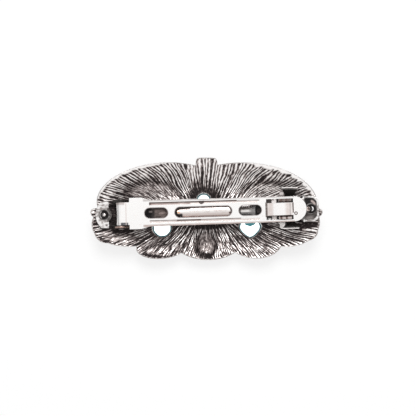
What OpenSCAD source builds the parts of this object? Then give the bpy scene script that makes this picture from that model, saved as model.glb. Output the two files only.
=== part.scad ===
// Hair barrette: a cast shell with three open-backed stone settings and a spring clasp riveted to its back.
// It lies face down on its stones' tables, clasp upwards, with the origin under the middle of its outline.

/* [Shell] */
// Height of the shell's back over the table plane, at the middle
shell_z = 3.9; // [3.6:0.1:4.5]
// Rise of the arch from the middle to 40 mm out
shell_sag = 5; // [4:0.25:5.5]
// Rise of the long edges towards the back, at 17.5 mm out
dish_rise = 1.6; // [0.5:0.1:2.5]
// Wall of the casting
wall = 1.5; // [1.2:0.1:1.8]
// Number of hair-like flutes chiselled across the back
flutes = 108; // [60:2:120]
// Depth of the flutes
flute_depth = 0.35; // [0.1:0.05:0.4]
// Turn of the shell against the clasp, in degrees
shell_turn = -1.7; // [-3:0.1:3]

/* [Stones] */
// Hole behind the top stone, radius
top_hole_r = 2.65; // [2:0.05:3]
// Hole behind the left stone, radius
left_hole_r = 3.5; // [3:0.05:4]
// Hole behind the right stone, radius
right_hole_r = 3.95; // [3.5:0.05:4.2]
// Ledge that each stone's pavilion bears on
ledge = 0.45; // [0.3:0.05:0.6]
// Wall of the bezel round each stone
bezel_wall = 0.8; // [0.6:0.1:1]

/* [Clasp base] */
// Distance of each rivet from the clasp's middle
rivet_x = 37.25; // [36.5:0.25:37.5]
// Thickness of the base steel
base_t = 0.8; // [0.6:0.1:1]
// Width of the base strip under the arm
base_w = 8; // [7.6:0.1:8.4]
// Rise of the base from its middle to the rivets
base_sag = 4.2; // [3.8:0.1:4.4]

/* [Arm] */
// Distance of the hinge pin from the clasp's middle
hinge_x = 31; // [30.5:0.25:31.5]
// Height of the hinge pin over the table plane
hinge_z = 11.3; // [11.2:0.1:11.8]
// Thickness of the arm
arm_t = 0.9; // [0.7:0.1:1]
// Width of the arm at its free end
arm_w = 9; // [8.8:0.1:9.4]
// Rise of the arm from its middle to the hinge
arm_sag = 1; // [0.6:0.1:1.4]
// Radius of the hinge pin
pin_r = 0.7; // [0.6:0.05:0.75]

/* [Hidden] */
$fn = 64;

// Clearance between pieces that are pressed or riveted together, and between the pin and the arm's knuckle
gap = 0.03;
fit = 0.06;
// A length that reaches past any piece, for cutters
past = 24;

// Outline of the shell in its own plan: the far side, seen from the origin, of these elliptical lobes.
// One lobe a row: centre x, centre y, half length, half height, turn in degrees.
LOBES = [
    [-16.5, 4.9, 23.2, 12.5, 6.6],
    [14.0, 3.1, 26.0, 14.4, -2.6],
    [-26.3, -3.9, 15.1, 9.1, 7.4],
    [-36.1, -7.4, 4.3, 4.5, 0],
    [-16.3, -13.2, 9.1, 4.3, 5.2],
    [0.4, -8.9, 13.8, 9.0, -0.6],
    [16.7, -9.7, 10.8, 7.5, -12.7],
    [28.5, -3.5, 12.4, 9.6, -6.8],
    [35.9, -7.3, 4.3, 3.8, 0],
    [-40.2, -0.9, 1.6, 1.6, 0],
    [40.3, -0.8, 1.5, 1.5, 0]
];
// Hollows in the back, which stand out as domes on the front.
// One hollow a row: centre x, centre y, half length, half height, turn in degrees, depth.
HOLLOWS = [
    [-19, 7, 14, 5.5, 12, 1.1],
    [20, 7.5, 14, 5.5, -12, 1.1],
    [-29, -5.5, 8, 5, 0, 0.6],
    [29, -6, 8, 5, -6, 0.6],
    [-16, -13.5, 6.5, 2.6, 0, 0.6],
    [17, -12.5, 7, 2.8, 0, 0.6],
    [-0.1, -12, 3.4, 5.2, 0, 1.3]
];
// Columns of both tables
CX = 0;
CY = 1;
HALF_L = 2;
HALF_H = 3;
TURN = 4;
DEPTH = 5;

// Settings in the shell's plan: x, y, hole radius
TOP = [-1, 3.85, top_hole_r];
LEFT = [-16.2, -6.05, left_hole_r];
RIGHT = [15.9, -5.75, right_hole_r];
SETTINGS = [TOP, LEFT, RIGHT];
HOLE_R = 2;

// Top tab of the outline: half width, height and how square its corners are
tab_w = 4.2;
tab_h = 19.3;
tab_power = 9;

// The casting's grid: columns run out from a line between two focus points to the rim, rings run round it
columns = 2 * flutes;
rings = 6;
ring_power = 0.8;
focus = 15.5;
// Half length and half height of the ellipse that spreads the columns round the rim
reach_x = 42;
reach_y = 17.5;
// Chamfer at the rim's lower edge
rim_step = 0.35;

function sq(v) = v * v;
function sum(v, i = 0) = i >= len(v) ? 0 : v[i] + sum(v, i + 1);
function turned(p, a) = [p.x * cos(a) - p.y * sin(a), p.x * sin(a) + p.y * cos(a)];
function middle(v) = (max(v) + min(v)) / 2;

// Distance from the origin to the far side of a lobe along the ray at angle t, or 0 where the ray misses it
function ray(t, lobe) =
    let (a = lobe[HALF_L], b = lobe[HALF_H], c = turned([lobe[CX], lobe[CY]], -lobe[TURN]),
         d = [cos(t - lobe[TURN]) / a, sin(t - lobe[TURN]) / b], p = [-c.x / a, -c.y / b],
         dd = d * d, pd = p * d, disc = sq(pd) - dd * (p * p - 1))
    disc < 0 ? 0 : (sqrt(disc) - pd) / dd;
function tab_ray(t) = let (p = tab_power)
    sin(t) <= 0 ? 0 : pow(pow(abs(cos(t)) / tab_w, p) + pow(sin(t) / tab_h, p), -1 / p);
function reach(t) = max(concat([for (lobe = LOBES) ray(t, lobe)], tab_ray(t)));

// Point of column j at share s of the way from the focus line to the rim
function column_angle(j) = 360 * j / columns;
function column_dir(j) = atan2(reach_y * sin(column_angle(j)), reach_x * cos(column_angle(j)));
function rim_point(j) = let (t = column_dir(j)) reach(t) * [cos(t), sin(t)];
function plan(j, s) = (1 - s) * [focus * cos(column_angle(j)), 0] + s * rim_point(j);

// Height of the back over the table plane at a point of the plan
function hollow(p, h) =
    let (q = turned([p.x - h[CX], p.y - h[CY]], -h[TURN]))
    h[DEPTH] * exp(-sq(sq(q.x / h[HALF_L]) + sq(q.y / h[HALF_H])));
function back_z(p) = shell_z + shell_sag * sq(p.x / 40) + dish_rise * sq(p.y / reach_y)
    - sum([for (h = HOLLOWS) hollow(p, h)]);

// Every second column is cut down, each by its own depth, and the flutes run out at the rim and in the middle
function flute(j, s) =
    j % 2 == 0 ? 0 : flute_depth * (0.75 + 0.25 * sin(97 * j)) * (1 - pow(s, 8)) * min(1, 6 * s);

// Where the outline's middle lies in the shell's plan, and where the clasp's middle lies in the part
rim = [for (j = [0:columns - 1]) turned(rim_point(j), shell_turn)];
mid = [middle([for (p = rim) p.x]), middle([for (p = rim) p.y])];
clasp_in_plan = [0.4, -0.7];
clasp_at = turned(clasp_in_plan, shell_turn) - mid;

module in_shell() translate([-mid.x, -mid.y, 0]) rotate(shell_turn) children();
module in_clasp() translate([clasp_at.x, clasp_at.y, 0]) children();

// Cut of the stones: shares of the girdle's radius, and the girdle's own height
table_share = 0.58;
crown_share = 0.3;
pavilion_share = 0.72;
girdle_h = 0.25;
function girdle_r(s) = s[HOLE_R] + ledge;
function crown(s) = crown_share * girdle_r(s);
// The pavilion meets the ledge's inner edge here
function ledge_z(s) = crown(s) + girdle_h + pavilion_share * ledge + gap;

// Domed casting between the back surface and a front surface one wall below it
module casting() {
    n = columns;
    // On the focus line the upper and lower columns meet in the same points
    function seam(j) = let (i = (j + n) % n) i <= n / 2 ? i : n - i;
    function at(side, k, j) =
        side * (rings + 1) * n + (k == 0 ? seam(j) : k * n + (j + n) % n);
    function quad(a, b, c, d) = [[a, b, c], [a, c, d]];
    points = [for (side = [0, 1]) for (k = [0:rings]) for (j = [0:n - 1])
        let (s = pow(k / rings, ring_power), step = k == rings ? rim_step : 0,
             p = plan(j, s - side * step / reach_y), drop = side == 0 ? flute(j, s) : wall - step)
        [p.x, p.y, back_z(p) - drop]];
    back = [for (j = [0:n - 1]) for (k = [0:rings - 1]) each
        quad(at(0, k, j), at(0, k, j + 1), at(0, k + 1, j + 1), at(0, k + 1, j))];
    front = [for (j = [0:n - 1]) for (k = [0:rings - 1]) each
        quad(at(1, k, j), at(1, k + 1, j), at(1, k + 1, j + 1), at(1, k, j + 1))];
    edge = [for (j = [0:n - 1]) each
        quad(at(0, rings, j), at(0, rings, j + 1), at(1, rings, j + 1), at(1, rings, j))];
    // Triangles that the seam closes to a line are left out
    faces = concat(back, front, edge);
    polyhedron(points, [for (f = faces) if (f[0] != f[1] && f[1] != f[2] && f[2] != f[0]) f]);
}

// Bezel block that drops from inside the wall to just above the table plane
module bezel(s) {
    n = 48;
    r = girdle_r(s) + gap + bezel_wall;
    low = 0.55;
    root = 0.6;
    ring = [for (i = [0:n - 1]) [s.x + r * cos(360 * i / n), s.y + r * sin(360 * i / n)]];
    points = concat([for (p = ring) [p.x, p.y, back_z(p) - root]], [for (p = ring) [p.x, p.y, low]],
                    [[s.x, s.y, back_z(s) - root], [s.x, s.y, low]]);
    faces = [for (i = [0:n - 1]) let (next = (i + 1) % n) each
        [[2 * n, next, i], [2 * n + 1, n + i, n + next], [i, next, n + next], [i, n + next, n + i]]];
    polyhedron(points, faces);
}

// Rivets stand square to the base plate's arc, with their own origin on the plate's underside
base_r = (sq(rivet_x) + sq(base_sag)) / (2 * base_sag);
base_clear = 0.6;
base_z = shell_z + shell_sag * sq(rivet_x / 40) + base_clear - base_sag;
rivet_tilt = asin(rivet_x / base_r);
module at_rivet(side) translate([side * rivet_x, 0, base_z + base_sag])
    rotate([0, -side * rivet_tilt, 0]) children();

boss_r = 2.5;
boss_h = 1.6;
shank_r = 0.9;
shank_h = 1.15;

module shell() color("dimgray") difference() {
    union() {
        in_shell() {
            casting();
            for (s = SETTINGS) bezel(s);
        }
        in_clasp() for (side = [-1, 1]) at_rivet(side)
            translate([0, 0, -boss_h]) cylinder(r = boss_r, h = boss_h - gap);
    }
    in_shell() for (s = SETTINGS) translate([s.x, s.y, -1]) {
        cylinder(r = s[HOLE_R], h = past);
        cylinder(r = girdle_r(s) + gap, h = 1 + ledge_z(s));
    }
    in_clasp() for (side = [-1, 1]) at_rivet(side)
        translate([0, 0, -shank_h - gap]) cylinder(r = shank_r + gap, h = past);
}

// Faceted stone: octagonal table down, a girdle of 16 sides, and a pavilion that comes to a point
module stone(s) {
    r = girdle_r(s);
    top = crown(s) + girdle_h;
    function ring(n, rr, z) = [for (i = [0:n - 1]) [rr * cos(360 * i / n), rr * sin(360 * i / n), z]];
    points = concat(ring(8, table_share * r, 0), ring(16, r, crown(s)), ring(16, r, top),
                    [[0, 0, top + pavilion_share * r]]);
    table = [for (i = [0:7]) i];
    crown_facets = [for (i = [0:7]) let (girdle = 8 + 2 * i, next = 8 + (2 * i + 2) % 16) each
        [[i, girdle, girdle + 1], [i, girdle + 1, (i + 1) % 8], [(i + 1) % 8, girdle + 1, next]]];
    sides = [for (i = [0:15]) let (next = (i + 1) % 16) each
        [[8 + i, 24 + i, 24 + next], [8 + i, 24 + next, 8 + next], [24 + i, 40, 24 + next]]];
    in_shell() translate([s.x, s.y, 0]) polyhedron(points, concat([table], crown_facets, sides));
}
module stone_top() color("paleturquoise") stone(TOP);
module stone_left() color("paleturquoise") stone(LEFT);
module stone_right() color("paleturquoise") stone(RIGHT);

// Sheet of steel bent to an arc along the clasp: r is the arc's outer radius, low its lowest height
module bent(r, low, t) rotate([90, 0, 0]) linear_extrude(past, center = true) intersection() {
    translate([0, low + r]) difference() {
        circle(r, $fn = 360);
        circle(r - t, $fn = 360);
    }
    translate([-2 * past, low - 1]) square([4 * past, past / 2]);
}
// Steel stamped to a plan: the sheet where the plan, drawn as the child, lies
module stamped(r, low, t) intersection() {
    bent(r, low, t);
    linear_extrude(past) children();
}
// Closes the half outline above the X axis with its mirror image below
function both_sides(half) = concat(half, [for (i = [len(half) - 1:-1:0]) [half[i].x, -half[i].y]]);
module block(x0, x1, w) translate([x0, -w / 2]) square([x1 - x0, w]);
module slot(x0, x1, w) {
    block(x0 + w / 2, x1 - w / 2, w);
    for (x = [x0 + w / 2, x1 - w / 2]) translate([x, 0]) circle(w / 2);
}
module at_pin() translate([-hinge_x, 0, hinge_z]) rotate([90, 0, 0]) children();
module pin_bar(r, h) at_pin() cylinder(r = r, h = h, center = true);

function base_top(x) = base_z + base_r - sqrt(sq(base_r - base_t) - sq(x));

clasp_half = 39.9;
ear_in = 4.25;
ear_t = 0.9;

// Left end of the base: a half-moon tab round the rivet, before an open window over the casting
end_tab_x = -35.6;
window_x = -29.4;
window_w = 7.2;
module base_plan() {
    rivet_pad_r = 2.75;
    moon_x = -33.7;
    moon_r = 6.5;
    moon_w = 9.5;
    ear_foot = [-34, -27.6];
    difference() {
        union() {
            block(end_tab_x - 0.4, tray_x + 0.6, base_w);
            block(ear_foot[0], ear_foot[1], 2 * (ear_in + ear_t));
            intersection() {
                translate([moon_x, 0]) circle(moon_r);
                block(-clasp_half - 1, end_tab_x, moon_w);
            }
            tray_plan(0);
        }
        block(end_tab_x, window_x, window_w);
    }
    translate([-rivet_x, 0]) circle(rivet_pad_r);
}
// Right end of the base, a rounded tray, drawn in by an inset
tray_x = 34.4;
tray_w = 9.2;
tray_wall = 0.65;
tray_lip = 0.9;
module tray_plan(inset) {
    r = 2.4;
    x1 = clasp_half - inset;
    w = tray_w - 2 * inset;
    block(tray_x, x1 - r, w);
    block(tray_x, x1, w - 2 * r);
    for (side = [-1, 1]) translate([x1 - r, side * (w / 2 - r)]) circle(r);
}
// Ear at the hinge: wide where it is folded up from the base, narrower round the pin
module ear() {
    foot = 2.85;
    neck = 1.4;
    shoulder_z = hinge_z - 1.4;
    neck_z = hinge_z + 0.6;
    eye_r = 1.55;
    function foot_z(x) = base_top(x) - base_t / 2;
    translate([-hinge_x, ear_in + ear_t, 0]) rotate([90, 0, 0]) linear_extrude(ear_t) {
        polygon([[-foot, foot_z(-hinge_x - foot)], [-foot, shoulder_z], [-neck, neck_z],
            [neck, neck_z], [foot, shoulder_z], [foot, foot_z(-hinge_x + foot)]]);
        translate([0, hinge_z]) circle(eye_r);
    }
}
// Stud on the base that holds the tension strip
stud_x = 18.6;
stud_r = 0.85;
stud_h = 0.7;

module clasp_base() color("silver") in_clasp() difference() {
    union() {
        stamped(base_r, base_z, base_t) base_plan();
        stamped(base_r - base_t / 2, base_z + base_t / 2, base_t / 2 + tray_lip) difference() {
            tray_plan(0);
            tray_plan(tray_wall);
            block(tray_x - 1, tray_x + 0.6, 2 * tray_w);
        }
        for (side = [0, 1]) mirror([0, side, 0]) ear();
        translate([stud_x, 0, base_top(stud_x) - base_t / 2]) cylinder(r = stud_r, h = base_t / 2 + stud_h);
    }
    for (side = [-1, 1]) at_rivet(side) translate([0, 0, -2]) cylinder(r = shank_r + gap, h = past);
    pin_bar(pin_r + gap, past);
}

// Rivet: a shank through the base into the casting, a spread collar and a domed middle
module rivet(side) {
    collar_in = 1.15;
    collar_out = 2.05;
    collar_h = 0.42;
    floor_h = 0.2;
    dome_r = 0.85;
    in_clasp() at_rivet(side) rotate_extrude() {
        translate([0, base_t]) polygon([[0, -base_t - shank_h], [shank_r, -base_t - shank_h], [shank_r, gap],
            [collar_out, gap], [collar_out, collar_h * 0.6], [collar_out - 0.2, collar_h],
            [collar_in + 0.2, collar_h], [collar_in, floor_h], [0, floor_h]]);
        intersection() {
            translate([0, base_t]) circle(dome_r);
            translate([0, base_t]) square(1);
        }
    }
}
module rivet_left() color("silver") rivet(-1);
module rivet_right() color("silver") rivet(1);

knuckle_r = pin_r + fit + arm_t;
arm_z = hinge_z + knuckle_r - arm_t - arm_sag;
arm_r = (sq(hinge_x) + sq(arm_sag)) / (2 * arm_sag);
function arm_low(x) = arm_z + arm_r - sqrt(sq(arm_r) - sq(x));

// Spring strip: held flat on the base by the stud at its right, it rises under the arm and ends in a tip
strip_t = 0.4;
strip_under = 0.2;
strip_w = 5.6;
strip_tip_x = -10.8;
strip_end_x = 21.6;
// The strip comes down from the arm to the base between these
drop_from = 8;
drop_to = 12.6;
function ease(t) = let (c = min(1, max(0, t))) c * c * (3 - 2 * c);
function strip_top(x) = let (e = ease((x - drop_from) / (drop_to - drop_from)))
    (1 - e) * (arm_low(x) - strip_under) + e * (base_top(x) + gap + strip_t);

module tension_strip() color("lightgray") in_clasp() {
    bends = 54;
    xs = [for (i = [0:bends]) strip_tip_x + (strip_end_x - strip_tip_x) * i / bends];
    side_view = concat([for (x = xs) [x, strip_top(x)]],
                       [for (i = [bends:-1:0]) [xs[i], strip_top(xs[i]) - strip_t]]);
    // Half of the tapered plan, from the tip
    taper = [[strip_tip_x - 0.2, 0.5], [-9.5, 1.5], [-5, strip_w / 2], [strip_end_x + 1, strip_w / 2]];
    difference() {
        intersection() {
            rotate([90, 0, 0]) linear_extrude(past, center = true) polygon(side_view);
            linear_extrude(past) polygon(both_sides(taper));
        }
        translate([stud_x, 0, 0]) cylinder(r = stud_r + gap, h = past);
    }
}

// Slits in the arm for the catch's hooks: how far in and out they lie from the middle, and where they run
slit_in = 2.35;
slit_out = 3.75;
SLIT_X = [21, 30.6];

// Catch: a floor on the base, two hooks that stand up through the arm's slits and two flared wings
catch_x = 29.6;
catch_t = 0.55;
catch_floor_z = base_top(catch_x) + gap;
hook_z = 13.3;
wing_z = 12.9;
// The wings reach this far out on the +Y and the -Y side
WING_REACH = [7.8, 7.1];

// Hook: a post inside the slit that leans outwards at its head
module catch_hook() {
    post = [2.5, 2.5 + catch_t];
    lip = 3.6;
    head_h = 0.3;
    hook_x = [25.4, 30];
    translate([hook_x[0], 0, 0]) rotate([90, 0, 90]) linear_extrude(hook_x[1] - hook_x[0])
        polygon([[post[0], catch_floor_z + 0.2], [post[1], catch_floor_z + 0.2], [post[1], hook_z - 0.35],
            [lip, hook_z], [lip, hook_z + head_h], [post[0] + 0.35, hook_z + head_h], [post[0], hook_z]]);
}
// Wing: leans out from the floor, narrow at its neck and widest just under its rounded rim
module catch_wing(reach) {
    foot = 4.5;
    rim = 0.35;
    half = [[foot - 0.5, 2], [foot + 0.7, 1.7], [reach - 0.3, 2.95], [reach + 1, 2.4]];
    intersection() {
        translate([past / 2, 0, 0]) rotate([90, 0, 90]) linear_extrude(past)
            polygon([[foot, catch_floor_z + 0.1], [foot + 0.5, catch_floor_z + 0.1], [reach, wing_z - rim],
                [reach, wing_z], [reach - rim, wing_z], [foot, catch_floor_z + 0.5]]);
        linear_extrude(past) translate([catch_x, 0])
            rotate(90) polygon(both_sides(half));
    }
}
module catch_spring() color("silver") in_clasp() {
    lug_x = [25.9, 27.8];
    lug_r = (lug_x[1] - lug_x[0]) / 2;
    lug_y = 5.9;
    stamped(base_r - base_t - gap, base_z + base_t + gap, catch_t) {
        block(25.2, 31.6, 10);
        block(lug_x[0], lug_x[1], 2 * lug_y);
        for (side = [-1, 1]) translate([lug_x[0] + lug_r, side * lug_y]) circle(lug_r);
    }
    for (side = [0, 1]) mirror([0, side, 0]) {
        catch_hook();
        catch_wing(WING_REACH[side]);
    }
}

// Arm: knuckle, shoulders and a tapering bar with three slots, the hook slits and two engraved lines
knuckle_w = 8.1;
shoulder_w = 11.2;
tip_x = 30.8;
SLOTS = [[-22.5, -14.2], [-11.7, 8.7], [11.2, 19.3]];
slot_w = 3.7;
module arm_plan() difference() {
    union() {
        block(-hinge_x, -27.5, knuckle_w);
        block(-27.9, -23.6, shoulder_w);
        half = [[-23.7, shoulder_w / 2], [-20.7, arm_w / 2 + 0.25], [tip_x, arm_w / 2]];
        polygon(both_sides(half));
        translate([tip_x, 0]) circle(arm_w / 2);
    }
    for (s = SLOTS) slot(s[0], s[1], slot_w);
    for (side = [-1, 1]) translate([0, side * (slit_in + slit_out) / 2])
        block(SLIT_X[0], SLIT_X[1], slit_out - slit_in);
    block(SLIT_X[0] + 1, SLIT_X[1] - 0.6, 2 * slit_in);
}
module arm() color("whitesmoke") in_clasp() difference() {
    line_y = 3.3;
    line_w = 0.5;
    line_depth = 0.22;
    union() {
        stamped(arm_r, arm_z, arm_t) arm_plan();
        pin_bar(knuckle_r, knuckle_w);
        bridge();
    }
    pin_bar(pin_r + fit, past);
    stamped(arm_r - arm_t + line_depth, arm_z + arm_t - line_depth, 2)
        for (side = [-1, 1]) translate([0, side * line_y]) block(-20.5, 18.5, line_w);
}
// Strap between the slits, pressed up in a low bridge
module bridge() {
    rise = 0.8;
    crest = 0.85;
    foot = [21.2, 22.6, 29.2, 30.8];
    peak = 26;
    function over(x, up) = [x, arm_low(x) + up];
    rotate([90, 0, 0]) linear_extrude(2 * slit_in - 0.1, center = true)
        polygon([over(foot[0], 0), over(foot[1], rise), over(peak, crest), over(foot[2], rise),
            over(foot[3], 0), over(foot[3] + 0.3, arm_t), over(foot[2] + 0.2, arm_t + rise),
            over(peak, arm_t + crest), over(foot[1] - 0.2, arm_t + rise), over(foot[0] - 0.3, arm_t)]);
}

// Hinge pin with a rounded head outside each ear
module hinge_pin() color("silver") in_clasp() at_pin() rotate_extrude() {
    head_r = 1.1;
    y = ear_in + ear_t + gap;
    half = [[0, y + 0.5], [head_r - 0.3, y + 0.42], [head_r, y + 0.2], [head_r, y], [pin_r, y]];
    polygon(both_sides(half));
}

shell();
stone_top();
stone_left();
stone_right();
clasp_base();
rivet_left();
rivet_right();
tension_strip();
catch_spring();
arm();
hinge_pin();
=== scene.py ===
import math

import bmesh
import bpy
import numpy as np
from mathutils import Matrix, Vector


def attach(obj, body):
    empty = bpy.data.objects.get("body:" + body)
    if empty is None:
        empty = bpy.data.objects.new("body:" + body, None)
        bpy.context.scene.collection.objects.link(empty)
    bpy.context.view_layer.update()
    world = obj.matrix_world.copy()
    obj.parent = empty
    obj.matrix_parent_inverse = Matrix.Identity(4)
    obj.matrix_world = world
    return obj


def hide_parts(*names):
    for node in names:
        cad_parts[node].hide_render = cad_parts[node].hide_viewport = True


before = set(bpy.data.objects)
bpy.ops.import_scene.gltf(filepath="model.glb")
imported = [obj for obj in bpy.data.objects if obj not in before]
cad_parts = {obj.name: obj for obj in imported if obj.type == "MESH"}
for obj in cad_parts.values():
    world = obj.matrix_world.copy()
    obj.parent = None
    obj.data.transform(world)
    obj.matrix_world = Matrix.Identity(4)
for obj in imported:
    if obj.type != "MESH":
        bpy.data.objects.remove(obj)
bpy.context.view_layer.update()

# The view. The clip lies on its domed front, clasp up, seen from almost straight above, a little from the
# lower side and turned a little. Sizes in this script are millimetres until MM makes them metres.
MM = 0.001
CAMERA_HEIGHT = 416
CAMERA_TILT = math.radians(3.5)
CAMERA_ROLL = math.radians(1.7)
VIEW_POINT = Vector((0.414, -1.416, 9))
# How far the picture's middle lies from the view point: to the right and up
VIEW_OFFSET = (0.204, 1.417)

across = Vector((1, 0, 0))
upward = Vector((0, math.cos(CAMERA_TILT), math.sin(CAMERA_TILT)))
toward = Vector((0, -math.sin(CAMERA_TILT), math.cos(CAMERA_TILT)))
picture_right = math.cos(CAMERA_ROLL) * across - math.sin(CAMERA_ROLL) * upward
picture_up = math.sin(CAMERA_ROLL) * across + math.cos(CAMERA_ROLL) * upward
eye = VIEW_POINT + VIEW_OFFSET[0] * across + VIEW_OFFSET[1] * upward + CAMERA_HEIGHT * toward
camera = bpy.data.objects.new("camera", bpy.data.cameras.new("camera"))
camera.data.lens = 100
camera.data.sensor_width = 36
camera.data.clip_start = 0.01
turn = Matrix((picture_right, picture_up, toward)).transposed().to_4x4()
camera.matrix_world = Matrix.Translation(eye * MM) @ turn
bpy.context.scene.collection.objects.link(camera)
bpy.context.scene.camera = camera
bpy.context.scene.view_settings.view_transform = "Standard"

# The table and the light: white acrylic lit faintly from below, a wide bright ceiling that darkens towards
# the horizon, and one soft lamp from the far side that lays the shadow below the clip.
TABLE_HALF = 12000
# The stones' tables stand on the table plane, so the acrylic lies a hair below it
TABLE_Z = -0.02
TABLE_GLOW = 0.64
TABLE_WHITE = 0.3
SKY_ZENITH = 0.98
SKY_HORIZON = 0.28
# Upward parts of the direction between which the sky brightens
SKY_RISE = (0.05, 0.92)
LAMP_PLACE = (40, 520, 840)
LAMP_SIZE = 500
LAMP_POWER = 4.5


def linked(name, mesh):
    """New object of the mesh, in the scene."""
    piece = bpy.data.objects.new(name, mesh)
    bpy.context.scene.collection.objects.link(piece)
    return piece


def put_mesh(name, points, faces, smooth=True):
    """New object of the points, in millimetres, and of the faces, one row of corners each."""
    mesh = bpy.data.meshes.new(name)
    mesh.from_pydata(np.asarray(points, float) * MM, [], [list(f) for f in faces])
    mesh.polygons.foreach_set("use_smooth", np.full(len(mesh.polygons), smooth))
    mesh.update()
    return linked(name, mesh)


def new_material(name):
    """New material with an empty tree, and the tree."""
    material = bpy.data.materials.new(name)
    material.use_nodes = True
    tree = material.node_tree
    tree.nodes.clear()
    return material, tree


def node_in(tree, kind, settings=None, **inputs):
    """Adds a node, sets its settings and fills its inputs: a socket is linked, anything else is its value."""
    node = tree.nodes.new(kind)
    for key, value in (settings or {}).items():
        setattr(node, key, value)
    for key, value in inputs.items():
        socket = node.inputs[int(key[1:])] if key[0] == "_" else node.inputs[key.replace("_", " ")]
        if isinstance(value, bpy.types.NodeSocket):
            tree.links.new(value, socket)
        else:
            socket.default_value = value
    return node


def soft_step(tree, value, low, high, start=0.0, end=1.0):
    """Output that runs from start to end, in a smooth S, while the value runs from low to high."""
    return node_in(tree, "ShaderNodeMapRange", {"interpolation_type": "SMOOTHSTEP"}, Value=value,
                   From_Min=low, From_Max=high, To_Min=start, To_Max=end).outputs[0]


def coat(tree, **values):
    """Puts in the material's one shader, with its inputs, and leads it to the output."""
    surface = node_in(tree, "ShaderNodeBsdfPrincipled", **values)
    node_in(tree, "ShaderNodeOutputMaterial", Surface=surface.outputs[0])


corners = [(x * TABLE_HALF, y * TABLE_HALF, TABLE_Z) for x, y in ((-1, -1), (1, -1), (1, 1), (-1, 1))]
table_top = put_mesh("table_top", corners, [(0, 1, 2, 3)], smooth=False)
acrylic, tree = new_material("white_acrylic")
coat(tree, Base_Color=(TABLE_WHITE,) * 3 + (1,), Roughness=0.6, Emission_Color=(1, 1, 1, 1),
     Emission_Strength=TABLE_GLOW)
table_top.data.materials.append(acrylic)

world = bpy.data.worlds.new("studio")
world.use_nodes = True
tree = world.node_tree
tree.nodes.clear()
direction = node_in(tree, "ShaderNodeTexCoord")
height = node_in(tree, "ShaderNodeSeparateXYZ", Vector=direction.outputs["Generated"])
level = soft_step(tree, height.outputs["Z"], *SKY_RISE, SKY_HORIZON, SKY_ZENITH)
sky = node_in(tree, "ShaderNodeBackground", Color=(1, 1, 1, 1), Strength=level)
node_in(tree, "ShaderNodeOutputWorld", Surface=sky.outputs[0])
bpy.context.scene.world = world

lamp = bpy.data.objects.new("lamp", bpy.data.lights.new("lamp", "AREA"))
lamp.data.size = LAMP_SIZE * MM
lamp.data.energy = LAMP_POWER
lamp.location = Vector(LAMP_PLACE) * MM
lamp.rotation_euler = (Vector((0, 0, 0)) - lamp.location).to_track_quat("-Z", "Y").to_euler()
bpy.context.scene.collection.objects.link(lamp)

# The cast shell: one zinc casting, silver plated and blackened, its back cut all over with hair-like strands
# that run out to a rim polished bright along the two upper arcs. It lies front down. Painted shade and
# painted highlights lie in its darkness beside the blackening.
SHELL_TURN = math.radians(-1.7)
CLASP_AT = (0.41407, -1.4162)
WALL = 1.5
SAG = 5
SAG_AT = 40
MIDDLE_Z = 3.9
DISH_RISE = 1.6
OVAL = (42, 17.5)
FOCUS_UPPER = 15.5
FOCUS_LOWER = 10.8
# Outline: the farthest of these ovals, one a row: centre x and y, half length, half height, turn in degrees
LOBES = np.array([
    (-16.5, 4.9, 23.2, 12.5, 6.6), (14.0, 3.1, 26.0, 14.4, -2.6), (-26.3, -3.9, 15.1, 9.1, 7.4),
    (-36.1, -7.4, 4.3, 4.5, 0), (-16.3, -13.2, 9.1, 4.3, 5.2), (0.4, -8.9, 13.8, 9.0, -0.6),
    (16.7, -9.7, 10.8, 7.5, -12.7), (28.5, -3.5, 12.4, 9.6, -6.8), (35.9, -7.3, 4.3, 3.8, 0),
    (-40.2, -0.9, 1.6, 1.6, 0), (40.3, -0.8, 1.5, 1.5, 0)])
TAB = (4.2, 19.3, 9)
# Hollows of the back, domes of the front: centre x and y, half length, half height, turn in degrees, depth
HOLLOWS = np.array([
    (-19, 7, 14, 5.5, 12, 1.1), (20, 7.5, 14, 5.5, -12, 1.1), (-29, -5.5, 8, 5, 0, 0.6),
    (29, -6, 8, 5, -6, 0.6), (-16, -13.5, 6.5, 2.6, 0, 0.6), (17, -12.5, 7, 2.8, 0, 0.6),
    (-0.1, -12, 3.4, 5.2, 0, 1.3)])
# Patches where the strands are worn down behind a step, on whose shaded side lies painted shade: centre x and
# y, half length, half height, turn, step down at the patch's edge, share of the strands left, darkness of the
# step's painted shade, its direction, the cosine off that direction where it fades, and darkness inside
PATCHES = np.array([
    (-18.5, 5.4, 11.0, 5.8, -6, 0.45, 0.25, 0.85, 115, 0.1, 0.66),
    (20.5, 5.2, 9.8, 5.6, 8, 0.40, 0.70, 0.75, 80, 0.1, 0.60),
    (-16.0, -14.6, 7.0, 2.3, 4, 0.30, 0.70, 0.40, 150, -0.2, 0.55),
    (-31.5, -9.3, 8.0, 3.1, -14, 0.15, 0.40, 0.30, 270, 0.2, 0.56),
    (-0.1, -12.3, 3.8, 4.9, 0, 0.50, 0.06, 0.75, 300, -0.6, 0.66)])
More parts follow.
